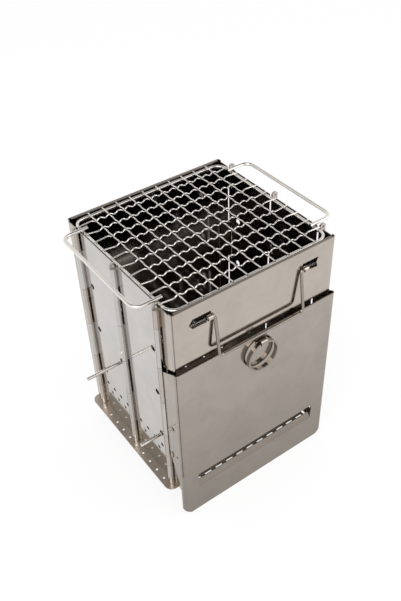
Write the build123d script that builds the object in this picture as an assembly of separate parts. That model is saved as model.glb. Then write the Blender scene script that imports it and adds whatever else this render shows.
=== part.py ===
from build123d import *
import os
from math import atan2, degrees, hypot

# Folding camping grill in polished sheet steel. Millimetres, +Z up, the front faces -Y.
# The sizes below are measured from the floor, under the middle of the box. The pieces are
# exported with the origin on the floor, under the middle of all that sticks out.

# Driving sizes of the sheet box
SHEET = 1.0             # thickness of the walls, panels and door
PLATE_SHEET = 1.2       # thickness of the base plate
BODY_W = 200.0          # across the outer faces of the side walls
BODY_D = 197.0          # between the outer faces of the front and back panels
RIM_Z = 300.0           # top edge of the front and back panels
PLATE_TOP = 34.0        # upper face of the base plate
FACE_LOW_Z = 231.0      # lower edge of the upper front face
BEND_R = 3.0            # outer radius of the front and back bends
LIP_DEPTH = 4.0         # inward lip along the rim
LIP_CUT = 3.5           # the lip stops this far from the side faces
RETURN_W = 12.0         # width of the inward strips below the upper front face
RELIEF_H = 15.0         # height of the open band between face and strips
FOOT_DEPTH = 5.0        # depth of the flange feet below the base plate
STACK_GAP = 0.3         # gap between pieces that rest on each other
WALL_TOP_DROP = 1.6     # the side walls end this far below the rim

# Small round shapes are drawn with few sides
BARREL_SIDES = 10
PIN_SIDES = 12
WIRE_SIDES = 6
MESH_SIDES = 6
RING_SIDES = 32
EYE_SIDES = 10
HOLE_SIDES = 8
SMALL_HOLE_SIDES = 6
TUBE_SIDES = 12

# Hinges: curled knuckles on the sheet edges, with loose pins
HINGE_Y = 76.0          # front and rear hinge axes, either side of the middle hinge
PIN_R = 2.4
PIN_CLEARANCE = 0.06    # radial, in the knuckle bore
KNUCKLE_SPLIT_Z = (68.0, 119.2, 170.4, 221.6, 272.8)
KNUCKLE_GAP = 0.3
BARREL_DROP = 4.0       # barrels end this far below the rim
NOTCH_CLEARANCE = 0.9   # from a barrel to the edge of the facing sheet
PIN_TIP = 1.5           # pin below the base plate
EYE_R = 2.6             # centre-line radius of the pin's loop
EYE_WIRE_R = 1.2

# Side wall holes and vents
ROD_HOLE_R = 3.5
HOLE_EDGE_Y = 16.0      # from a front or rear hinge axis to the outer holes
HOLE_Z = (103.0, 169.5, 232.0)
INNER_HOLE_Y = 14.0     # from the middle hinge axis to the rear walls' inner hole
INNER_HOLE_Z = 155.0
VENT_R = 2.5
VENT_PITCH = 14.8
VENT_ROWS = ((82.0, 4), (71.0, 3))   # height and number of holes in each half wall
VENT_MIDDLE = 1.0       # the rows are centred this far from the half wall's middle

# Base plate
PLATE_W = 224.0
PLATE_BACK_GAP = 0.8    # to the back panel
PLATE_FRONT_Y = -86.0
PLATE_WING_Y = 91.5     # rear end of the parts outside the walls
PLATE_WING_GAP = 0.8    # from the rear tongue to the back panel's feet
PLATE_CORNER_R = 9.0
PLATE_SLOT_L = 8.5
PLATE_SLOT_W = 2.6
PLATE_PITCH_X = 30.0
PLATE_PITCH_Y = 14.8
PLATE_COLUMNS = 6
PLATE_ROWS = 10
EDGE_HOLE_X = 106.5
EDGE_HOLE_R = 1.5
LEDGE_W = 20.0          # tabs of the back panel under the plate
LEDGE_X = 60.0
LEDGE_DEPTH = 9.0

# Door: the lower front cover
DOOR_SIDE_GAP = 2.2     # between its flanges and the front panel's
DOOR_FACE_GAP = 4.0     # behind its face, to the upper front face
DOOR_TOP_Z = 228.0
DOOR_BEND_R = 4.0
DOOR_FLANGE_GAP = 1.0   # from the flange's rear edge to the front barrels
DOOR_SHOULDER_Z = 217.7
DOOR_WAIST_Z = 97.0
DOOR_SKIRT_Z = 45.0
DOOR_SKIRT_DEPTH = 5.5
DOOR_CORNER = 9.0       # cut at the bottom corners
HEM_H = 6.0
SLOT_HALF_W = 83.0
SLOT_LOW_Z = 40.0       # crease of the bent flap
SLOT_TOP_Z = 61.4
FLAP_H = 8.5
FLAP_ANGLE = 24.0
LUG_Z = 94.0
LUG_H = 10.0
LUG_W = 3.6
LUG_EDGE = 5.0          # from its middle to the flange's rear edge
LUG_PROUD = 0.8
FLANGE_HOLE_Y = -95.0
FLANGE_HOLE_Z = 98.0
FLANGE_HOLE_R = 1.5
DIMPLE_Y = -90.0
DIMPLE_Z = 140.0
DIMPLE_BASE_R = 4.0
DIMPLE_TIP_R = 1.8

# Ring pull
RING_R = 18.4           # centre-line radius
RING_RADIAL = 2.2
RING_AXIAL = 4.4
RING_BORE_R = 2.75      # of the bracket's eye
EYE_WALL = 0.8
EYE_LENGTH = 8.0
RING_TOP_DROP = 9.0     # the eye's axis below the door's top edge
BRACKET_W = 12.0
BRACKET_H = 11.0

# Carry bail and its lanced tabs
BAIL_R = 1.75
BAIL_CLEARANCE = 0.08
BAIL_HALF_W = 53.5      # to the centre line of a leg
BAIL_STUB = 9.5         # outward end of each leg
BAIL_BEND_R = 3.0
BAIL_CORNER_R = 5.0
BAIL_PIVOT_Z = 279.0
BAIL_BAR_Z = 230.0      # so that its bar clears the top of the door
BAIL_BAR_Y = -107.0
TAB_W = 5.0
TAB_GAP = 3.4           # from the leg's centre line to the tab
OPENING_L = 21.0
OPENING_POINT = 4.5
OPENING_BELOW = 6.0     # opening below and above the bail's pivot
OPENING_ABOVE = 6.0

# Grate
FRAME_WIRE_R = 2.0
GRATE_W = 192.6         # between the frame's centre lines
GRATE_D = 183.0
GRATE_Y = 0.5
GRATE_CORNER_R = 12.0
MESH_WIRE_R = 1.05
MESH_COUNT = 10
MESH_PITCH = 17.1
MESH_TOUCH = 0.1        # gap where the wires cross
MESH_END = 1.5          # wire past the frame's centre line
HANDLE_OUT_X = 121.0
HANDLE_HALF_Y = 69.6
HANDLE_IN = 5.3         # handle end inside the frame's centre line
HANDLE_BEND_R = 10.0
WELD_GAP = 0.05

# Support rods
ROD_R = 2.0
ROD_LENGTH = 250.0
UPPER_ROD_LEFT = -144.0
LOWER_ROD_LEFT = -126.4

# Derived places
HALF_W = BODY_W / 2
HALF_D = BODY_D / 2
BORE_R = PIN_R + PIN_CLEARANCE
BARREL_R = BORE_R + SHEET
AXIS_X = HALF_W - SHEET + BARREL_R
NOTCH = BARREL_R + NOTCH_CLEARANCE
BASE_Z = PLATE_TOP + STACK_GAP
BARREL_TOP = RIM_Z - BARREL_DROP
WALL_TOP = RIM_Z - WALL_TOP_DROP
DOOR_HALF_W = HALF_W + DOOR_SIDE_GAP + SHEET
DOOR_FACE_Y = -(HALF_D + DOOR_FACE_GAP + SHEET)
DOOR_FLANGE_Y = -(HINGE_Y + BARREL_R + DOOR_FLANGE_GAP)
TAB_BORE_R = BAIL_R + BAIL_CLEARANCE
TAB_R = TAB_BORE_R + SHEET
BAIL_PIVOT_Y = -(HALF_D - SHEET + TAB_R)
RING_EYE_Y = DOOR_FACE_Y - SHEET - RING_BORE_R - EYE_WALL
RING_EYE_Z = DOOR_TOP_Z - RING_TOP_DROP
HANDLE_Z = WALL_TOP + STACK_GAP + FRAME_WIRE_R
FRAME_Z = HANDLE_Z - 2 * FRAME_WIRE_R - WELD_GAP
MESH_END_Z = FRAME_Z + FRAME_WIRE_R + MESH_WIRE_R + MESH_TOUCH
MESH_WAVE = MESH_WIRE_R + MESH_TOUCH / 2
MESH_Z = MESH_END_Z - MESH_WAVE
ROD_DROP = ROD_HOLE_R - ROD_R - STACK_GAP
THROUGH = 40.0          # length of cutting tools that pass right through
ORIGIN_X = (UPPER_ROD_LEFT + LOWER_ROD_LEFT + ROD_LENGTH) / 2
ORIGIN_Y = (RING_EYE_Y - RING_BORE_R - EYE_WALL + HALF_D) / 2


def block(x0, x1, y0, y1, z0, z1):
    """A box between two corners."""
    size = (abs(x1 - x0), abs(y1 - y0), abs(z1 - z0))
    middle = ((x0 + x1) / 2, (y0 + y1) / 2, (z0 + z1) / 2)
    return Pos(*middle) * Box(*size)


def wire(points, bends, radius, start_direction):
    """A wire along straight runs joined by arcs."""
    path = FilletPolyline(*points, radius=bends)
    section = Plane(origin=points[0], z_dir=start_direction) * RegularPolygon(radius, WIRE_SIDES)
    return sweep(section, path=path)


def tube(outer, bore, length):
    """A many-sided tube and its bore along X, through the origin."""
    turn = Rot(0, 90, 0)
    body = extrude(RegularPolygon(outer, TUBE_SIDES), amount=length / 2, both=True)
    hole = extrude(RegularPolygon(bore, TUBE_SIDES, major_radius=False), amount=THROUGH, both=True)
    return turn * body, turn * hole


def slot_outline(length, width):
    """A slot along X with pointed ends."""
    side = (length - width) / 2
    points = [(-length / 2, 0), (-side, -width / 2), (side, -width / 2)]
    points += [(-x, -y) for x, y in points]
    return make_face(Polyline(*points, close=True))


def flat_ring(radius, wide, thick, sides):
    """A ring about the Y axis, from its middle radius, radial width and thickness."""
    outline = RegularPolygon(radius + wide / 2, sides) - RegularPolygon(radius - wide / 2, sides)
    return Rot(90, 0, 0) * extrude(outline, amount=thick / 2, both=True)


def leaf_knuckles(hinge_y, towards, first):
    """Every other knuckle of a left-side hinge, joined to the sheet that lies towards +Y or -Y."""
    strip_y = hinge_y + towards * (NOTCH + SHEET)
    middle = (-HALF_W + SHEET / 2, (hinge_y + strip_y) / 2)
    profile = Pos(-AXIS_X, hinge_y) * RegularPolygon(BARREL_R, BARREL_SIDES)
    profile += Pos(*middle) * Rectangle(SHEET, abs(strip_y - hinge_y))
    profile -= Pos(-AXIS_X, hinge_y) * RegularPolygon(BORE_R, BARREL_SIDES, major_radius=False)
    starts = [BASE_Z] + [z + KNUCKLE_GAP / 2 for z in KNUCKLE_SPLIT_Z]
    ends = [z - KNUCKLE_GAP / 2 for z in KNUCKLE_SPLIT_Z] + [BARREL_TOP]
    spans = list(zip(starts, ends))[first::2]
    return [Pos(0, 0, low) * extrude(profile, amount=high - low, dir=(0, 0, 1)) for low, high in spans]


def channel(half_w, face_y, flange_y, bend_r, low, high):
    """An upright U of sheet that opens towards +Y."""
    depth = 2 * (flange_y - face_y)
    centre_y = face_y + depth / 2
    outer = Pos(0, centre_y) * RectangleRounded(2 * half_w, depth, bend_r)
    inner = Pos(0, centre_y) * RectangleRounded(2 * (half_w - SHEET), depth - 2 * SHEET, bend_r - SHEET)
    keep = Pos(0, (face_y + flange_y) / 2) * Rectangle(2 * half_w + 2, flange_y - face_y)
    return Pos(0, 0, low) * extrude((outer - inner) & keep, amount=high - low, dir=(0, 0, 1))


def both_sides(shape):
    """A left-side shape and its mirror image."""
    return [shape, mirror(shape, about=Plane.YZ)]


def rim_lip():
    """The inward lip along the top of the front panel."""
    half = HALF_W - LIP_CUT
    return block(-half, half, -HALF_D + SHEET / 2, -HALF_D + LIP_DEPTH, RIM_Z - SHEET, RIM_Z)


def bail_opening(side):
    """The lanced opening beside a bail tab: pointed on the left, notched on the right."""
    inner = BAIL_HALF_W + TAB_GAP - STACK_GAP
    outer = inner + OPENING_L
    low = BAIL_PIVOT_Z - OPENING_BELOW
    high = BAIL_PIVOT_Z + OPENING_ABOVE
    middle = (low + high) / 2
    tip = outer + OPENING_POINT if side < 0 else outer - OPENING_POINT / 2
    points = [(side * inner, low), (side * outer, low), (side * tip, middle), (side * outer, high), (side * inner, high)]
    outline = make_face(Polyline(*points, close=True))
    return Plane.XZ.offset(HALF_D - THROUGH / 2) * extrude(outline, amount=THROUGH)


def bail_tab(side):
    """The tongue beside the opening, curled round the bail's end."""
    start = side * (BAIL_HALF_W + TAB_GAP)
    end = start + side * TAB_W
    curl, bore = tube(TAB_R, TAB_BORE_R, TAB_W)
    place = Pos((start + end) / 2, BAIL_PIVOT_Y, BAIL_PIVOT_Z)
    foot = BAIL_PIVOT_Z - OPENING_BELOW - 1.0
    tongue = block(start, end, -HALF_D, -HALF_D + SHEET, foot, BAIL_PIVOT_Z)
    return (place * curl + tongue) - place * bore


def front_panel():
    """Upper face, side flanges with knuckles, inward strips and feet on the floor."""
    flange_y = -HINGE_Y - NOTCH
    panel = channel(HALF_W, -HALF_D, flange_y, BEND_R, 0, RIM_Z)
    face_back = -HALF_D + BEND_R
    window = HALF_W - RETURN_W
    panel -= block(-window, window, -HALF_D - 1, face_back, -1, FACE_LOW_Z)
    relief = HALF_W - SHEET
    panel -= block(-relief, relief, -HALF_D - 1, face_back, FACE_LOW_Z - RELIEF_H, FACE_LOW_Z)
    foot_back = -HALF_D + FOOT_DEPTH
    panel -= block(-HALF_W - 1, HALF_W + 1, foot_back, flange_y + 1, -1, BASE_Z)
    panel -= block(-HALF_W - 1, HALF_W + 1, foot_back, flange_y + 1, BARREL_TOP + BARREL_DROP - LIP_DEPTH / 2, RIM_Z + 1)
    panel -= [bail_opening(side) for side in (-1, 1)]
    panel += [bail_tab(side) for side in (-1, 1)]
    panel += rim_lip()
    for knuckle in leaf_knuckles(-HINGE_Y, -1, 1):
        panel += both_sides(knuckle)
    ledge_y = PLATE_FRONT_Y + LIP_DEPTH
    ledge_top = PLATE_TOP - PLATE_SHEET - STACK_GAP
    ledge = block(-HALF_W + SHEET + 1, -window, -HALF_D + SHEET / 2, ledge_y, ledge_top - SHEET, ledge_top)
    return panel + both_sides(ledge)


def back_panel():
    """Plain back face down to the floor, side flanges with knuckles, and tabs that carry the plate."""
    flange_y = -HINGE_Y - NOTCH
    panel = channel(HALF_W, -HALF_D, flange_y, BEND_R, 0, RIM_Z)
    foot_back = -HALF_D + FOOT_DEPTH
    panel -= block(-HALF_W - 1, HALF_W + 1, foot_back, flange_y + 1, -1, BASE_Z)
    panel -= block(-HALF_W - 1, HALF_W + 1, foot_back, flange_y + 1, RIM_Z - LIP_DEPTH / 2, RIM_Z + 1)
    panel += rim_lip()
    for knuckle in leaf_knuckles(-HINGE_Y, -1, 1):
        panel += both_sides(knuckle)
    ledge_top = PLATE_TOP - PLATE_SHEET - STACK_GAP
    for x in (-LEDGE_X, LEDGE_X):
        panel += block(x - LEDGE_W / 2, x + LEDGE_W / 2, -HALF_D + SHEET / 2, -HALF_D + LEDGE_DEPTH, ledge_top - SHEET, ledge_top)
    return Rot(0, 0, 180) * panel


def vent_places(rear):
    """Centres of the staggered vents in a half wall."""
    middle = (HINGE_Y / 2 - VENT_MIDDLE) * (1 if rear else -1)
    return [(middle + (i - (count - 1) / 2) * VENT_PITCH, z) for z, count in VENT_ROWS for i in range(count)]


def half_wall(rear):
    """A left side wall between two hinge axes, front or rear half."""
    y_low, y_high = (0.0, HINGE_Y) if rear else (-HINGE_Y, 0.0)
    wall = block(-HALF_W, -HALF_W + SHEET, y_low + NOTCH, y_high - NOTCH, BASE_Z, WALL_TOP)
    wall += leaf_knuckles(y_low, 1, 0)
    wall += leaf_knuckles(y_high, -1, 0 if rear else 1)
    hole_y = HINGE_Y - HOLE_EDGE_Y
    holes = [(hole_y if rear else -hole_y, z) for z in HOLE_Z]
    if rear:
        holes.append((INNER_HOLE_Y, INNER_HOLE_Z))
    across = Rot(0, 90, 0)
    wall -= [Pos(-HALF_W, y, z) * across * Cylinder(ROD_HOLE_R, 2 * SHEET + 1) for y, z in holes]
    vent = across * extrude(RegularPolygon(VENT_R, HOLE_SIDES), amount=2 * SHEET, both=True)
    wall -= [Pos(-HALF_W, y, z) * vent for y, z in vent_places(rear)]
    return wall


def hinge_pin(hinge_y):
    """A loose pin with a loop at its top, for a left-side hinge."""
    low = PLATE_TOP - PLATE_SHEET - PIN_TIP
    high = BARREL_TOP + STACK_GAP
    pin = Pos(-AXIS_X, hinge_y, low) * extrude(RegularPolygon(PIN_R, PIN_SIDES), amount=high - low)
    loop = Pos(-AXIS_X, hinge_y, high + EYE_R) * flat_ring(EYE_R, 2 * EYE_WIRE_R, 2 * EYE_WIRE_R, EYE_SIDES)
    return pin + loop


def base_plate():
    """The perforated fire bed that the walls stand on."""
    back_y = HALF_D - SHEET - PLATE_BACK_GAP
    depth = PLATE_WING_Y - PLATE_FRONT_Y
    outline = Pos(0, (PLATE_WING_Y + PLATE_FRONT_Y) / 2) * RectangleRounded(PLATE_W, depth, PLATE_CORNER_R)
    tongue_w = 2 * (HALF_W - SHEET - PLATE_WING_GAP)
    outline += Pos(0, back_y / 2) * Rectangle(tongue_w, back_y)
    slots = GridLocations(PLATE_PITCH_X, PLATE_PITCH_Y, PLATE_COLUMNS, PLATE_ROWS)
    outline -= slots * (Rot(0, 0, 90) * slot_outline(PLATE_SLOT_L, PLATE_SLOT_W))
    edge_holes = GridLocations(2 * EDGE_HOLE_X, PLATE_PITCH_Y, 2, PLATE_ROWS)
    outline -= edge_holes * RegularPolygon(EDGE_HOLE_R, SMALL_HOLE_SIDES)
    pin_hole = RegularPolygon(BORE_R, BARREL_SIDES, major_radius=False)
    outline -= GridLocations(2 * AXIS_X, HINGE_Y, 2, 3) * pin_hole
    return Pos(0, 0, PLATE_TOP - PLATE_SHEET) * extrude(outline, amount=PLATE_SHEET, dir=(0, 0, 1))


def door():
    """The lower front cover, with its air slot, bent flap, hemmed top and flange lugs."""
    cover = channel(DOOR_HALF_W, DOOR_FACE_Y, DOOR_FLANGE_Y, DOOR_BEND_R, 0, DOOR_TOP_Z)
    skirt_y = DOOR_FACE_Y + DOOR_SKIRT_DEPTH
    side = [
        (DOOR_FACE_Y - 1, -1), (skirt_y, -1), (skirt_y, DOOR_SKIRT_Z), (DOOR_FLANGE_Y, DOOR_WAIST_Z),
        (DOOR_FLANGE_Y, DOOR_SHOULDER_Z), (DOOR_FACE_Y + DOOR_BEND_R, DOOR_TOP_Z), (DOOR_FACE_Y - 1, DOOR_TOP_Z),
    ]
    outline = make_face(Polyline(*side, close=True))
    cover = cover & (Plane.YZ * extrude(outline, amount=DOOR_HALF_W + 1, both=True))
    corner = Polyline((-DOOR_HALF_W - 1, -1), (-DOOR_HALF_W + DOOR_CORNER, -1), (-DOOR_HALF_W - 1, DOOR_CORNER), close=True)
    cut = Plane.XZ.offset(-DOOR_FACE_Y - THROUGH / 2) * extrude(make_face(corner), amount=THROUGH)
    cover -= both_sides(cut)
    cover -= block(-SLOT_HALF_W, SLOT_HALF_W, DOOR_FACE_Y - 1, DOOR_FACE_Y + BEND_R, SLOT_LOW_Z, SLOT_TOP_Z)
    flap = Pos(0, SHEET / 2, FLAP_H / 2) * Box(2 * SLOT_HALF_W, SHEET, FLAP_H)
    cover += Pos(0, DOOR_FACE_Y, SLOT_LOW_Z - SHEET / 4) * Rot(-FLAP_ANGLE, 0, 0) * flap
    hem_half = DOOR_HALF_W - DOOR_BEND_R - 1
    cover += block(-hem_half, hem_half, DOOR_FACE_Y + SHEET / 2, DOOR_FACE_Y + 2 * SHEET, DOOR_TOP_Z - HEM_H, DOOR_TOP_Z)
    across = Rot(0, 90, 0)
    hole = across * extrude(RegularPolygon(FLANGE_HOLE_R, HOLE_SIDES), amount=2 * SHEET, both=True)
    hole = Pos(-DOOR_HALF_W, FLANGE_HOLE_Y, FLANGE_HOLE_Z) * hole
    lug = across * extrude(slot_outline(LUG_H, LUG_W), amount=LUG_PROUD, both=True)
    lug = Pos(-DOOR_HALF_W, DOOR_FLANGE_Y - LUG_EDGE, LUG_Z) * lug
    depth = DOOR_SIDE_GAP - STACK_GAP
    lean = degrees(atan2(DIMPLE_BASE_R - DIMPLE_TIP_R, depth))
    dimple = across * extrude(RegularPolygon(DIMPLE_BASE_R, HOLE_SIDES), amount=depth, taper=lean)
    dimple = Pos(-DOOR_HALF_W + SHEET, DIMPLE_Y, DIMPLE_Z) * dimple
    dent = Pos(-SHEET, 0, 0) * dimple
    cover = cover + both_sides(dimple) - both_sides(dent) - both_sides(hole)
    return cover + both_sides(lug)


def ring_bracket():
    """A riveted plate with a curled eye that carries the ring."""
    top = RING_EYE_Z + RING_BORE_R
    plate = block(-BRACKET_W / 2, BRACKET_W / 2, DOOR_FACE_Y - SHEET, DOOR_FACE_Y - WELD_GAP, top - BRACKET_H, top)
    curl, bore = tube(RING_BORE_R + EYE_WALL, RING_BORE_R, EYE_LENGTH)
    place = Pos(0, RING_EYE_Y, RING_EYE_Z)
    arm = block(-EYE_LENGTH / 2, EYE_LENGTH / 2, RING_EYE_Y, DOOR_FACE_Y - SHEET / 2, top, top + EYE_WALL)
    return (plate + arm + place * curl) - place * bore


def door_ring():
    """A flat ring pull that hangs in the bracket's eye."""
    return Pos(0, RING_EYE_Y, RING_EYE_Z - RING_R) * flat_ring(RING_R, RING_RADIAL, RING_AXIAL, RING_SIDES)


def carry_bail():
    """A wire bail that hangs from the tabs in front of the upper face."""
    drop = BAIL_PIVOT_Z - BAIL_BAR_Z
    lean = degrees(atan2(BAIL_PIVOT_Y - BAIL_BAR_Y, drop))
    leg = hypot(drop, BAIL_PIVOT_Y - BAIL_BAR_Y)
    end = BAIL_HALF_W + BAIL_STUB
    points = [(-end, 0, 0), (-BAIL_HALF_W, 0, 0), (-BAIL_HALF_W, 0, -leg)]
    points += [(-x, y, z) for x, y, z in reversed(points)]
    bends = [BAIL_BEND_R, BAIL_CORNER_R, BAIL_CORNER_R, BAIL_BEND_R]
    return Pos(0, BAIL_PIVOT_Y, BAIL_PIVOT_Z) * Rot(-lean, 0, 0) * wire(points, bends, BAIL_R, (1, 0, 0))


def grate_frame():
    """The rounded wire frame of the grate."""
    path = Wire(RectangleRounded(GRATE_W, GRATE_D, GRATE_CORNER_R).wire().edges())
    start = path @ 0
    section = Plane(origin=start, z_dir=path % 0) * RegularPolygon(FRAME_WIRE_R, WIRE_SIDES)
    return Pos(0, GRATE_Y, FRAME_Z) * sweep(section, path=path)


def mesh_offsets():
    """Places of the mesh wires either side of the grate's middle."""
    return [(i - (MESH_COUNT - 1) / 2) * MESH_PITCH for i in range(MESH_COUNT)]


def mesh_wire(half_length, phase):
    """One crimped wire along X, over and under the wires that cross it."""
    end = half_length + MESH_END
    points = [(-end, 0, MESH_END_Z), (-half_length, 0, MESH_END_Z)]
    for i, place in enumerate(mesh_offsets()):
        points.append((place, 0, MESH_Z + MESH_WAVE * (-1) ** (i + phase)))
    points += [(half_length, 0, MESH_END_Z), (end, 0, MESH_END_Z)]
    section = Plane(origin=points[0], z_dir=(1, 0, 0)) * RegularPolygon(MESH_WIRE_R, MESH_SIDES)
    return sweep(section, path=Polyline(*points), transition=Transition.RIGHT)


def mesh_wires_across():
    """The ten wires from side to side."""
    return [Pos(0, GRATE_Y + y, 0) * mesh_wire(GRATE_W / 2, i % 2) for i, y in enumerate(mesh_offsets())]


def mesh_wires_along():
    """The ten wires from front to back."""
    turned = Pos(0, GRATE_Y, 0) * Rot(0, 0, 90)
    return [turned * Pos(0, x, 0) * mesh_wire(GRATE_D / 2, i % 2) for i, x in enumerate(mesh_offsets())]


def grate_handle():
    """The left wire handle, welded on the frame and resting on the side wall."""
    inner = -GRATE_W / 2 + HANDLE_IN
    ends = HANDLE_HALF_Y
    points = [
        (inner, ends, HANDLE_Z), (-HANDLE_OUT_X, ends, HANDLE_Z),
        (-HANDLE_OUT_X, -ends, HANDLE_Z), (inner, -ends, HANDLE_Z),
    ]
    return wire(points, HANDLE_BEND_R, FRAME_WIRE_R, (-1, 0, 0))


def support_rod(left, y, z):
    """A straight rod across the box."""
    return Pos(left + ROD_LENGTH / 2, y, z - ROD_DROP) * Rot(0, 90, 0) * Cylinder(ROD_R, ROD_LENGTH)


def nodes():
    """Every piece under the name of its node."""
    front_wall = half_wall(rear=False)
    rear_wall = half_wall(rear=True)
    handle = grate_handle()
    found = {
        "front_panel": front_panel(),
        "back_panel": back_panel(),
        "wall_left_front": front_wall,
        "wall_left_rear": rear_wall,
        "wall_right_front": mirror(front_wall, about=Plane.YZ),
        "wall_right_rear": mirror(rear_wall, about=Plane.YZ),
        "base_plate": base_plate(),
        "door": door(),
        "ring_bracket": ring_bracket(),
        "door_ring": door_ring(),
        "carry_bail": carry_bail(),
        "grate_frame": grate_frame(),
        "mesh_wires_across": Compound(mesh_wires_across()),
        "mesh_wires_along": Compound(mesh_wires_along()),
        "grate_handle_left": handle,
        "grate_handle_right": mirror(handle, about=Plane.YZ),
        "support_rod_upper": support_rod(UPPER_ROD_LEFT, INNER_HOLE_Y, INNER_HOLE_Z),
        "support_rod_lower": support_rod(LOWER_ROD_LEFT, -(HINGE_Y - HOLE_EDGE_Y), HOLE_Z[0]),
    }
    for place, y in (("front", -HINGE_Y), ("middle", 0.0), ("rear", HINGE_Y)):
        pin = hinge_pin(y)
        found[f"pin_left_{place}"] = pin
        found[f"pin_right_{place}"] = mirror(pin, about=Plane.YZ)
    return found


def main():
    os.makedirs("parts", exist_ok=True)
    to_origin = Pos(-ORIGIN_X, -ORIGIN_Y, 0)
    for name, shape in nodes().items():
        placed = Compound([to_origin * solid for solid in shape.solids()])
        export_step(placed, f"parts/{name}.step")


main()
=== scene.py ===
import bpy
from math import cos, radians, sin, tan
from mathutils import Matrix, Vector


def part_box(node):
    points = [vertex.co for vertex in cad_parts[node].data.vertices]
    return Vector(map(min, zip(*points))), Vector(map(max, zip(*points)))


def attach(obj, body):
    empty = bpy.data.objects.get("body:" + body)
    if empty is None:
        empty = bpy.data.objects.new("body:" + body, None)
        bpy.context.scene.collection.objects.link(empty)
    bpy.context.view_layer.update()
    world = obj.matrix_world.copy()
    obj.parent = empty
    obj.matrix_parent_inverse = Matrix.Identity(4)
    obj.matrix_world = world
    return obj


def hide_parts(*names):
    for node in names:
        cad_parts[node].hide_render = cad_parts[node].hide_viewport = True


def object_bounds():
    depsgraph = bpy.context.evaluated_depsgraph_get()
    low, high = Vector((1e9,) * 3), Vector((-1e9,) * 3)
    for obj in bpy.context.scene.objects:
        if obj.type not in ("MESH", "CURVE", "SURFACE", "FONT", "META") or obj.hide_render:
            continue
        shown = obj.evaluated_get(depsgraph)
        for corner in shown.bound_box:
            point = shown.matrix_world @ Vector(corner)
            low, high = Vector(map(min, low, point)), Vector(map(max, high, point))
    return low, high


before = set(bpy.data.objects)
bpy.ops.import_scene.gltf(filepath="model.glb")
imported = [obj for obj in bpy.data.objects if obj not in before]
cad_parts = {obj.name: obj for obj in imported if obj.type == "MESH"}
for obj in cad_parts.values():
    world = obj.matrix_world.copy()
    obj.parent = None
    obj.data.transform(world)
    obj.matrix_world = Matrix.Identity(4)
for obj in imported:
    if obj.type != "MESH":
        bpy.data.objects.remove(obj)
cad_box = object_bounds()

MM = 0.001

# Camera, found from the box's edges in the photograph
FOCAL_PIXELS = 739.21
PHOTO_WIDTH = 401
SENSOR_WIDTH = 36.0
CAMERA_AZIMUTH = radians(-34.26)
CAMERA_ELEVATION = radians(40.62)
CAMERA_ROLL = radians(-2.31)
CAMERA_DISTANCE = 825.16 * MM
TARGET_LEFT = 0.65 * MM
TARGET_HEIGHT = 200.80 * MM
BODY_DEPTH = 197.0 * MM

# The woven grate, on the same lines as the CAD model's
WIRE_RADIUS = 0.88 * MM
WIRE_COUNT = 10
WIRE_PITCH = 17.1 * MM
WAVE_ACROSS = 1.25 * MM
WAVE_ALONG = 0.4 * MM
WIRE_REST = 0.1 * MM    # gap between a wire's end and the frame under it
CRIMPS = 3              # crimps from one crossing to the next
CRIMP_REACH = 0.42      # length of a crimp's handles, as a share of a crimp
WIRE_END = 1.5 * MM

# Bent wires, sized as the CAD model's
GRATE_W = 192.6 * MM
GRATE_D = 183.0 * MM
GRATE_CORNER_R = 12.0 * MM
HANDLE_OUT_X = 121.0 * MM
HANDLE_HALF_Y = 69.6 * MM
HANDLE_BEND_R = 10.0 * MM
FRAME_WIRE_R = 2.0 * MM
BAIL_R = 1.75 * MM
BAIL_HALF_W = 53.5 * MM
BAIL_STUB = 9.5 * MM
BAIL_BEND_R = 3.0 * MM
BAIL_CORNER_R = 5.0 * MM
BAIL_PIVOT_Z = 279.0 * MM
BAIL_BAR_Z = 230.0 * MM
BAIL_BAR_Y = -107.0 * MM
BAIL_PIVOT_Y = -100.33 * MM
BEND_STEPS = 8

# Faces inside the box and the cover, which get painted shade: a darker colour where less light reaches
INNER_HALF_X = 99.5 * MM
INNER_HALF_Y = 97.9 * MM
COVER_HALF_X = 102.25 * MM
COVER_HALF_Y = 102.55 * MM
COVER_DARK_ABOVE = 70.0 * MM
COVER_TOP = 222.0 * MM
# Painted shade: the share of the colour left on the inner faces, the fire bed and behind the cover
INNER_PAINTED_SHADE = 0.45
BED_PAINTED_SHADE = 0.8
COVER_PAINTED_SHADE = 0.12
COVER_FADE = 0.6        # share of the colour left at the floor
WALL_FADE = 0.8
FADE_TINT = (1.0, 0.97, 0.93)

# The fire bed's front margin
FRONT_GAP = 1.8 * MM
FRONT_SEAM = 0.1 * MM
FRONT_WIDTH = 168.0 * MM
FRONT_SLOTS = 11
FRONT_ROWS = (0.0, 0.35, 0.7, 1.0)    # edges of the slots' row, as shares of the margin
SLOT_START = 0.2                      # of the pitch of the slots
SLOT_END = 0.8

# Steel
LINES_FINE = 900.0      # fine rolling lines, in noise cells per metre
LINES_LONG = 25.0
WIRE_GRAIN = 200.0
PATCH_SCALE = 26.0
WAVE_SCALE = 9.0
WAVE_DEPTH = 4.0 * MM
SCRATCH_DEPTH = 0.2 * MM
SMOOTH_ANGLE = radians(32)

# Levels of the light
WHITE = (1.0, 1.0, 1.0, 1.0)
FLOOR_SIZE = 6.0
FLOOR_GREY = 0.86
FLOOR_GLOW = 0.85       # how far the floor outside the object's feet shows as the white backdrop
UNDER_X = 92.0 * MM     # half size of the shaded floor under the box
UNDER_Y = 70.0 * MM
UNDER_SHIFT = 20.0 * MM
UNDER_BLEND = 14.0 * MM
WORLD_STRENGTH = 1.0


def node_tree(material):
    """Turns nodes on and returns the tree with its Principled shader."""
    material.use_nodes = True
    tree = material.node_tree
    shader = next(n for n in tree.nodes if n.type == "BSDF_PRINCIPLED")
    return tree, shader


def add(tree, kind, **values):
    """Adds a shader node and sets its properties and its inputs by name."""
    node = tree.nodes.new(kind)
    for name, value in values.items():
        if hasattr(node, name):
            setattr(node, name, value)
        else:
            node.inputs[name.replace("_", " ")].default_value = value
    return node


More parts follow.
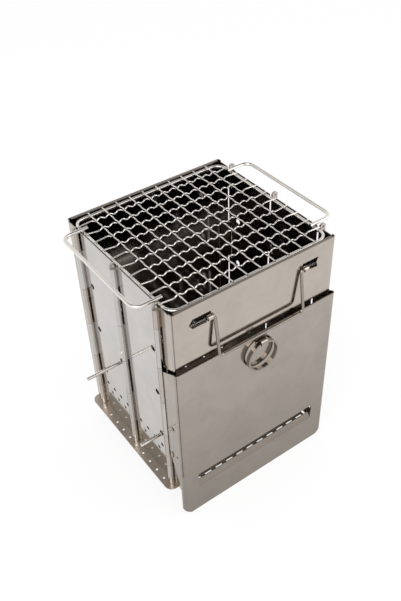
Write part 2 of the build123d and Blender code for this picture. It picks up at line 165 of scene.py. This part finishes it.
def ramp(tree, stops):
    """A colour ramp with the given stops of (position, colour)."""
    node = tree.nodes.new("ShaderNodeValToRGB")
    band = node.color_ramp
    while len(band.elements) < len(stops):
        band.elements.new(0.5)
    for element, (position, colour) in zip(band.elements, stops):
        element.position = position
        element.color = (*colour, 1.0)
    return node


def tone(colour, factor):
    """A colour made lighter or darker."""
    return tuple(min(1.0, c * factor) for c in colour)


def steel(name, colour, roughness, stretch, smudge=0.08, wave=0.15):
    """Bright steel: fine rolling lines along one direction, faint smudges and slow waves."""
    material = bpy.data.materials.new(name)
    tree, shader = node_tree(material)
    link = tree.links.new
    place = add(tree, "ShaderNodeTexCoord")
    lines_place = add(tree, "ShaderNodeMapping")
    lines_place.inputs["Scale"].default_value = stretch
    link(place.outputs["Object"], lines_place.inputs["Vector"])
    lines = add(tree, "ShaderNodeTexNoise", Scale=1.0, Detail=5.0, Roughness=0.6)
    link(lines_place.outputs["Vector"], lines.inputs["Vector"])
    patches = add(
        tree, "ShaderNodeTexNoise", Scale=PATCH_SCALE, Detail=6.0, Roughness=0.65, Distortion=0.6,
    )
    link(place.outputs["Object"], patches.inputs["Vector"])
    dark = tone(colour, 1.0 - smudge)
    light = tone(colour, 1.0 + smudge)
    tint = ramp(tree, [(0.3, dark), (0.5, colour), (0.72, light)])
    link(patches.outputs["Fac"], tint.inputs["Fac"])
    link(tint.outputs["Color"], shader.inputs["Base Color"])
    shine = add(tree, "ShaderNodeMapRange")
    shine.inputs["From Min"].default_value = 0.3
    shine.inputs["From Max"].default_value = 0.7
    shine.inputs["To Min"].default_value = roughness * 0.7
    shine.inputs["To Max"].default_value = roughness * 1.5
    link(lines.outputs["Fac"], shine.inputs["Value"])
    link(shine.outputs["Result"], shader.inputs["Roughness"])
    slow = add(tree, "ShaderNodeTexNoise", Scale=WAVE_SCALE, Detail=1.0)
    link(place.outputs["Object"], slow.inputs["Vector"])
    waves = add(tree, "ShaderNodeBump", Strength=wave, Distance=WAVE_DEPTH)
    link(slow.outputs["Fac"], waves.inputs["Height"])
    scratches = add(tree, "ShaderNodeBump", Strength=0.05, Distance=SCRATCH_DEPTH)
    link(lines.outputs["Fac"], scratches.inputs["Height"])
    link(waves.outputs["Normal"], scratches.inputs["Normal"])
    link(scratches.outputs["Normal"], shader.inputs["Normal"])
    shader.inputs["Metallic"].default_value = 1.0
    return material


def body_middle():
    """Middle of the box across and in depth."""
    low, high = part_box("back_panel")
    return (low[0] + high[0]) / 2, high[1] - BODY_DEPTH / 2


def multiply_colour(tree, shader, factor, colour):
    """Multiplies the shader's base colour by another one, as far as a factor says."""
    clean = shader.inputs["Base Color"].links[0].from_socket
    mix = add(tree, "ShaderNodeMix", data_type="RGBA", blend_type="MULTIPLY")
    colours = [s for s in mix.inputs if s.type == "RGBA"]
    colours[1].default_value = (*colour, 1.0)
    tree.links.new(factor, mix.inputs["Factor"])
    tree.links.new(clean, colours[0])
    result = next(s for s in mix.outputs if s.type == "RGBA")
    tree.links.new(result, shader.inputs["Base Color"])


def place_axes(tree):
    """Splits the place on a piece into X, Y and Z."""
    place = add(tree, "ShaderNodeTexCoord")
    split = add(tree, "ShaderNodeSeparateXYZ")
    tree.links.new(place.outputs["Object"], split.inputs["Vector"])
    return split.outputs


def maths(tree, operation, first, second):
    """A maths node on a socket and a second socket or number."""
    node = add(tree, "ShaderNodeMath", operation=operation)
    tree.links.new(first, node.inputs[0])
    if isinstance(second, float):
        node.inputs[1].default_value = second
    else:
        tree.links.new(second, node.inputs[1])
    return node.outputs["Value"]


def painted_shade_inside(material, depth, reach_x=INNER_HALF_X, reach_y=INNER_HALF_Y, above=0.0):
    """Paints shade on the faces inside the box: darkens the steel where less light reaches."""
    tree, shader = node_tree(material)
    axes = place_axes(tree)
    middle_x, middle_y = body_middle()
    inside = maths(tree, "GREATER_THAN", axes["Z"], above)
    for axis, centre, reach in (("X", middle_x, reach_x), ("Y", middle_y, reach_y)):
        offset = maths(tree, "SUBTRACT", axes[axis], centre)
        size = maths(tree, "ABSOLUTE", offset, 0.0)
        near = maths(tree, "LESS_THAN", size, reach)
        inside = maths(tree, "MULTIPLY", inside, near)
    multiply_colour(tree, shader, inside, (depth, depth, depth))


def darker_below(material, depth):
    """Darkens steel gradually down to the floor, where less light reaches it."""
    tree, shader = node_tree(material)
    rise = add(tree, "ShaderNodeMapRange")
    rise.inputs["From Max"].default_value = COVER_TOP
    rise.inputs["To Min"].default_value = 1.0
    rise.inputs["To Max"].default_value = 0.0
    tree.links.new(place_axes(tree)["Z"], rise.inputs["Value"])
    multiply_colour(tree, shader, rise.outputs["Result"], tone(FADE_TINT, depth))


def plate_front(material):
    """The fire bed's front margin between the legs, with the air slots seen through the cover."""
    low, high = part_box("base_plate")
    middle_x, middle_y = body_middle()
    front = middle_y - BODY_DEPTH / 2 + FRONT_GAP
    back = low[1] - FRONT_SEAM
    rows = [front + (back - front) * share for share in FRONT_ROWS]
    step = FRONT_WIDTH / FRONT_SLOTS
    columns = []
    for i in range(FRONT_SLOTS):
        left = middle_x - FRONT_WIDTH / 2 + i * step
        columns += [left, left + step * SLOT_START, left + step * SLOT_END]
    columns.append(middle_x + FRONT_WIDTH / 2)
    wide = len(columns)
    faces = []
    for row in range(len(rows) - 1):
        for column in range(wide - 1):
            if row == 1 and column % 3 == 1:
                continue
            first = row * wide + column
            faces.append((first, first + 1, first + wide + 1, first + wide))
    mesh = bpy.data.meshes.new("plate_front")
    mesh.from_pydata([(x, y, high[2]) for y in rows for x in columns], [], faces)
    mesh.materials.append(material)
    piece = bpy.data.objects.new("plate_front", mesh)
    bpy.context.scene.collection.objects.link(piece)
    sheet = piece.modifiers.new("sheet", "SOLIDIFY")
    sheet.thickness = high[2] - low[2]
    sheet.offset = -1.0
    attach(piece, "shell")


def finish_node(name, material):
    """Gives a CAD node its material and shades its rounds smooth."""
    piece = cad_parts[name]
    piece.data.materials.clear()
    piece.data.materials.append(material)
    for face in piece.data.polygons:
        face.use_smooth = True
    piece.data.set_sharp_from_angle(angle=SMOOTH_ANGLE)


def crimped_wire(name, level, wave, half_length, offset, turned, phase):
    """One wire of the grate as a curve that weaves over and under the wires across it."""
    curve = bpy.data.curves.new(name, "CURVE")
    curve.dimensions = "3D"
    curve.bevel_depth = WIRE_RADIUS
    curve.bevel_resolution = 3
    curve.resolution_u = 5
    curve.use_fill_caps = True
    end = half_length + WIRE_END
    rest = level[1]
    points = [(-end, rest), (-half_length, rest)]
    crimp = WIRE_PITCH / CRIMPS
    first = -(WIRE_COUNT - 1) / 2 * WIRE_PITCH - crimp
    for i in range((WIRE_COUNT - 1) * CRIMPS + 3):
        points.append((first + i * crimp, level[0] - wave * (-1) ** (i + phase)))
    points += [(half_length, rest), (end, rest)]
    spline = curve.splines.new("BEZIER")
    spline.bezier_points.add(len(points) - 1)
    reach = crimp * CRIMP_REACH
    steps = [reach if 1 < i < len(points) - 2 else WIRE_END / 3 for i in range(len(points))]
    for knot, (along, height), step in zip(spline.bezier_points, points, steps):
        left = (along - step, height)
        right = (along + step, height)
        for part, (a, z) in (("handle_left", left), ("co", (along, height)), ("handle_right", right)):
            spot = (offset[0], offset[1] + a, z) if turned else (offset[0] + a, offset[1], z)
            setattr(knot, part, spot)
    wire = bpy.data.objects.new(name, curve)
    bpy.context.scene.collection.objects.link(wire)
    return wire


def bent_path(corners, bends, closed=False):
    """Points along a path whose corners are rounded."""
    points = []
    count = len(corners)
    for i, corner in enumerate(corners):
        here = Vector(corner)
        if not closed and i in (0, count - 1):
            points.append(here)
            continue
        come = (Vector(corners[i - 1]) - here).normalized()
        go = (Vector(corners[(i + 1) % count]) - here).normalized()
        half = come.angle(go) / 2
        bend = bends[i % len(bends)]
        middle = here + (come + go).normalized() * bend / sin(half)
        start = (come * bend / tan(half) + here - middle).normalized()
        finish = (go * bend / tan(half) + here - middle).normalized()
        for k in range(BEND_STEPS + 1):
            way = start.slerp(finish, k / BEND_STEPS).normalized()
            points.append(middle + way * bend)
    return points


def round_wire(name, points, radius, closed, node, body, material):
    """A smooth round wire along a path, in place of a CAD node."""
    curve = bpy.data.curves.new(name, "CURVE")
    curve.dimensions = "3D"
    curve.bevel_depth = radius
    curve.bevel_resolution = 4
    curve.use_fill_caps = True
    spline = curve.splines.new("POLY")
    spline.points.add(len(points) - 1)
    for knot, point in zip(spline.points, points):
        knot.co = (*point, 1.0)
    spline.use_cyclic_u = closed
    spline.use_smooth = True
    curve.materials.append(material)
    wire = bpy.data.objects.new(name, curve)
    bpy.context.scene.collection.objects.link(wire)
    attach(wire, body)
    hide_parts(node)


def bent_wires(grate_steel, bail_steel):
    """The grate's frame and handles and the bail, in place of their many-sided CAD wires."""
    middle_x, middle_y = body_middle()
    low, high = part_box("grate_frame")
    centre_y = (low[1] + high[1]) / 2
    level = (low[2] + high[2]) / 2
    corners = []
    for side, front in ((-1, -1), (1, -1), (1, 1), (-1, 1)):
        corners.append((middle_x + side * GRATE_W / 2, centre_y + front * GRATE_D / 2, level))
    path = bent_path(corners, [GRATE_CORNER_R], closed=True)
    round_wire("frame_wire", path, FRAME_WIRE_R, True, "grate_frame", "grate", grate_steel)
    for label, side in (("left", -1), ("right", 1)):
        node = f"grate_handle_{label}"
        low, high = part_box(node)
        inner = high[0] if side < 0 else low[0]
        outer = middle_x + side * HANDLE_OUT_X
        level = (low[2] + high[2]) / 2
        ends = (low[1] + high[1]) / 2
        corners = [
            (inner, ends + HANDLE_HALF_Y, level), (outer, ends + HANDLE_HALF_Y, level),
            (outer, ends - HANDLE_HALF_Y, level), (inner, ends - HANDLE_HALF_Y, level),
        ]
        path = bent_path(corners, [HANDLE_BEND_R])
        round_wire(f"handle_wire_{label}", path, FRAME_WIRE_R, False, node, "grate", grate_steel)
    end = BAIL_HALF_W + BAIL_STUB
    pivot = middle_y + BAIL_PIVOT_Y
    bar = middle_y + BAIL_BAR_Y
    corners = [
        (-end, pivot, BAIL_PIVOT_Z), (-BAIL_HALF_W, pivot, BAIL_PIVOT_Z), (-BAIL_HALF_W, bar, BAIL_BAR_Z),
    ]
    corners += [(-x, y, z) for x, y, z in reversed(corners)]
    corners = [(middle_x + x, y, z) for x, y, z in corners]
    bends = [BAIL_BEND_R, BAIL_BEND_R, BAIL_CORNER_R, BAIL_CORNER_R, BAIL_BEND_R, BAIL_BEND_R]
    path = bent_path(corners, bends)
    round_wire("bail_wire", path, BAIL_R, False, "carry_bail", "carry_bail", bail_steel)


def woven_wires(material):
    """All wires of the grate, in place of the CAD model's simpler ones."""
    low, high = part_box("grate_frame")
    middle_y = (low[1] + high[1]) / 2
    across_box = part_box("mesh_wires_across")
    along_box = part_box("mesh_wires_along")
    rest = high[2] + WIRE_RADIUS + WIRE_REST
    level = (rest - WAVE_ALONG, rest)
    middle_x = (low[0] + high[0]) / 2
    half_x = across_box[1][0] - middle_x - WIRE_END
    half_y = along_box[1][1] - middle_y - WIRE_END
    for i in range(WIRE_COUNT):
        side = (i - (WIRE_COUNT - 1) / 2) * WIRE_PITCH
        kinds = (
            ("across", WAVE_ACROSS, half_x, (middle_x, middle_y + side), False),
            ("along", WAVE_ALONG, half_y, (middle_x + side, middle_y), True),
        )
        for way, wave, half, offset, turned in kinds:
            phase = (i + 1) % 2 if turned else i % 2
            wire = crimped_wire(f"grate_wire_{way}_{i + 1}", level, wave, half, offset, turned, phase)
            wire.data.materials.append(material)
            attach(wire, "grate")
            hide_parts(f"mesh_wires_{way}")


def white_world():
    """White to the camera, and to metal a white horizon that darkens overhead."""
    world = bpy.data.worlds.new("studio")
    bpy.context.scene.world = world
    world.use_nodes = True
    tree = world.node_tree
    link = tree.links.new
    back = next(n for n in tree.nodes if n.type == "BACKGROUND")
    place = add(tree, "ShaderNodeTexCoord")
    split = add(tree, "ShaderNodeSeparateXYZ")
    link(place.outputs["Generated"], split.inputs["Vector"])
    sky = ramp(tree, [
        (0.0, (1, 1, 1)), (0.3, (0.97, 0.97, 0.97)), (0.62, (0.86, 0.84, 0.82)),
        (0.75, (0.5, 0.49, 0.48)), (0.93, (0.1, 0.1, 0.1)),
    ])
    link(split.outputs["Z"], sky.inputs["Fac"])
    path = add(tree, "ShaderNodeLightPath")
    choose = add(tree, "ShaderNodeMix", data_type="RGBA")
    colour_inputs = [s for s in choose.inputs if s.type == "RGBA"]
    colour_inputs[0].default_value = WHITE
    link(path.outputs["Is Glossy Ray"], choose.inputs["Factor"])
    link(sky.outputs["Color"], colour_inputs[1])
    result = next(s for s in choose.outputs if s.type == "RGBA")
    link(result, back.inputs["Color"])
    back.inputs["Strength"].default_value = WORLD_STRENGTH


def floor():
    """The pale floor: white backdrop around the object, and shaded floor under it."""
    low, _ = cad_box
    middle_x, middle_y = body_middle()
    place = (middle_x, middle_y + UNDER_SHIFT, low[2])
    bpy.ops.mesh.primitive_plane_add(size=FLOOR_SIZE, location=place)
    ground = bpy.context.object
    ground.name = "floor"
    material = bpy.data.materials.new("floor")
    tree, shader = node_tree(material)
    shader.inputs["Base Color"].default_value = (FLOOR_GREY, FLOOR_GREY, FLOOR_GREY, 1)
    shader.inputs["Roughness"].default_value = 0.9
    shader.inputs["Specular IOR Level"].default_value = 0.0
    glow = add(tree, "ShaderNodeEmission", Color=WHITE, Strength=1.0)
    axes = place_axes(tree)
    sides = []
    for axis, reach in (("X", UNDER_X), ("Y", UNDER_Y)):
        edge = add(tree, "ShaderNodeMapRange")
        edge.inputs["From Min"].default_value = reach - UNDER_BLEND
        edge.inputs["From Max"].default_value = reach
        tree.links.new(maths(tree, "ABSOLUTE", axes[axis], 0.0), edge.inputs["Value"])
        sides.append(edge.outputs["Result"])
    outside = maths(tree, "MAXIMUM", sides[0], sides[1])
    lit = maths(tree, "MULTIPLY", outside, FLOOR_GLOW)
    path = add(tree, "ShaderNodeLightPath")
    seen = maths(tree, "MAXIMUM", path.outputs["Is Camera Ray"], path.outputs["Is Glossy Ray"])
    share = maths(tree, "MULTIPLY", seen, lit)
    both = add(tree, "ShaderNodeMixShader")
    output = next(n for n in tree.nodes if n.type == "OUTPUT_MATERIAL")
    tree.links.new(share, both.inputs["Fac"])
    tree.links.new(shader.outputs["BSDF"], both.inputs[1])
    tree.links.new(glow.outputs["Emission"], both.inputs[2])
    tree.links.new(both.outputs["Shader"], output.inputs["Surface"])
    ground.data.materials.append(material)


def lamp(name, place, target, size, power):
    """A soft square lamp that points at a place."""
    data = bpy.data.lights.new(name, "AREA")
    data.size = size
    data.energy = power
    lamp_object = bpy.data.objects.new(name, data)
    bpy.context.scene.collection.objects.link(lamp_object)
    lamp_object.location = place
    lamp_object.rotation_euler = (Vector(target) - Vector(place)).to_track_quat("-Z", "Y").to_euler()


def camera():
    """The photograph's camera, which looks at the middle of the box."""
    middle_x, middle_y = body_middle()
    target = Vector((middle_x - TARGET_LEFT, middle_y, TARGET_HEIGHT))
    a = CAMERA_AZIMUTH
    e = CAMERA_ELEVATION
    back = Vector((sin(a) * cos(e), -cos(a) * cos(e), sin(e)))
    right = Vector((cos(a), sin(a), 0.0))
    up = back.cross(right)
    rolled_right = right * cos(CAMERA_ROLL) + up * sin(CAMERA_ROLL)
    rolled_up = up * cos(CAMERA_ROLL) - right * sin(CAMERA_ROLL)
    data = bpy.data.cameras.new("camera")
    data.sensor_fit = "HORIZONTAL"
    data.sensor_width = SENSOR_WIDTH
    data.lens = FOCAL_PIXELS * SENSOR_WIDTH / PHOTO_WIDTH
    view = bpy.data.objects.new("camera", data)
    bpy.context.scene.collection.objects.link(view)
    turn = Matrix((rolled_right, rolled_up, back)).transposed().to_4x4()
    view.matrix_world = Matrix.Translation(target + back * CAMERA_DISTANCE) @ turn
    bpy.context.scene.camera = view


def dress():
    """Materials for every CAD node, and the pieces that replace some."""
    upright = (LINES_FINE, LINES_FINE, LINES_LONG)
    level = (LINES_LONG, LINES_FINE, LINES_FINE)
    grain = (WIRE_GRAIN, WIRE_GRAIN, WIRE_GRAIN)
    face = steel("front_steel", (0.47, 0.42, 0.375), 0.1, level)
    cover = steel("cover_steel", (0.39, 0.35, 0.31), 0.14, level)
    walls = steel("wall_steel", (0.54, 0.515, 0.495), 0.08, upright)
    bed = steel("bed_steel", (0.62, 0.55, 0.47), 0.34, level)
    wire_steel = steel("wire_steel", (0.8, 0.77, 0.73), 0.2, grain, wave=0.0)
    bail_steel = steel("bail_steel", (0.3, 0.27, 0.24), 0.1, grain, wave=0.0)
    pin_steel = steel("pin_steel", (0.5, 0.47, 0.44), 0.18, grain, wave=0.0)
    # Painted shade on the faces inside the box and on the fire bed
    painted_shade_inside(face, INNER_PAINTED_SHADE)
    painted_shade_inside(walls, INNER_PAINTED_SHADE)
    painted_shade_inside(bed, BED_PAINTED_SHADE)
    # Painted shade on the cover's faces behind it, above the floor
    painted_shade_inside(cover, COVER_PAINTED_SHADE, COVER_HALF_X, COVER_HALF_Y, COVER_DARK_ABOVE)
    darker_below(cover, COVER_FADE)
    darker_below(walls, WALL_FADE)
    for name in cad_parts:
        if name in ("front_panel", "back_panel"):
            finish_node(name, face)
        elif name == "door":
            finish_node(name, cover)
        elif name in ("carry_bail", "door_ring", "ring_bracket"):
            finish_node(name, bail_steel)
        elif name.startswith("wall_"):
            finish_node(name, walls)
        elif name == "base_plate":
            finish_node(name, bed)
        elif name.startswith("pin_"):
            finish_node(name, pin_steel)
        else:
            finish_node(name, wire_steel)
    woven_wires(wire_steel)
    bent_wires(wire_steel, bail_steel)
    plate_front(bed)


dress()
white_world()
floor()
lamp("key_lamp", (-1.2, -0.9, 1.6), (0, 0, 0.15), 1.4, 18.0)
lamp("fill_lamp", (1.3, -1.1, 0.9), (0, 0, 0.15), 1.2, 7.0)
camera()
bpy.context.scene.view_settings.view_transform = "Standard"
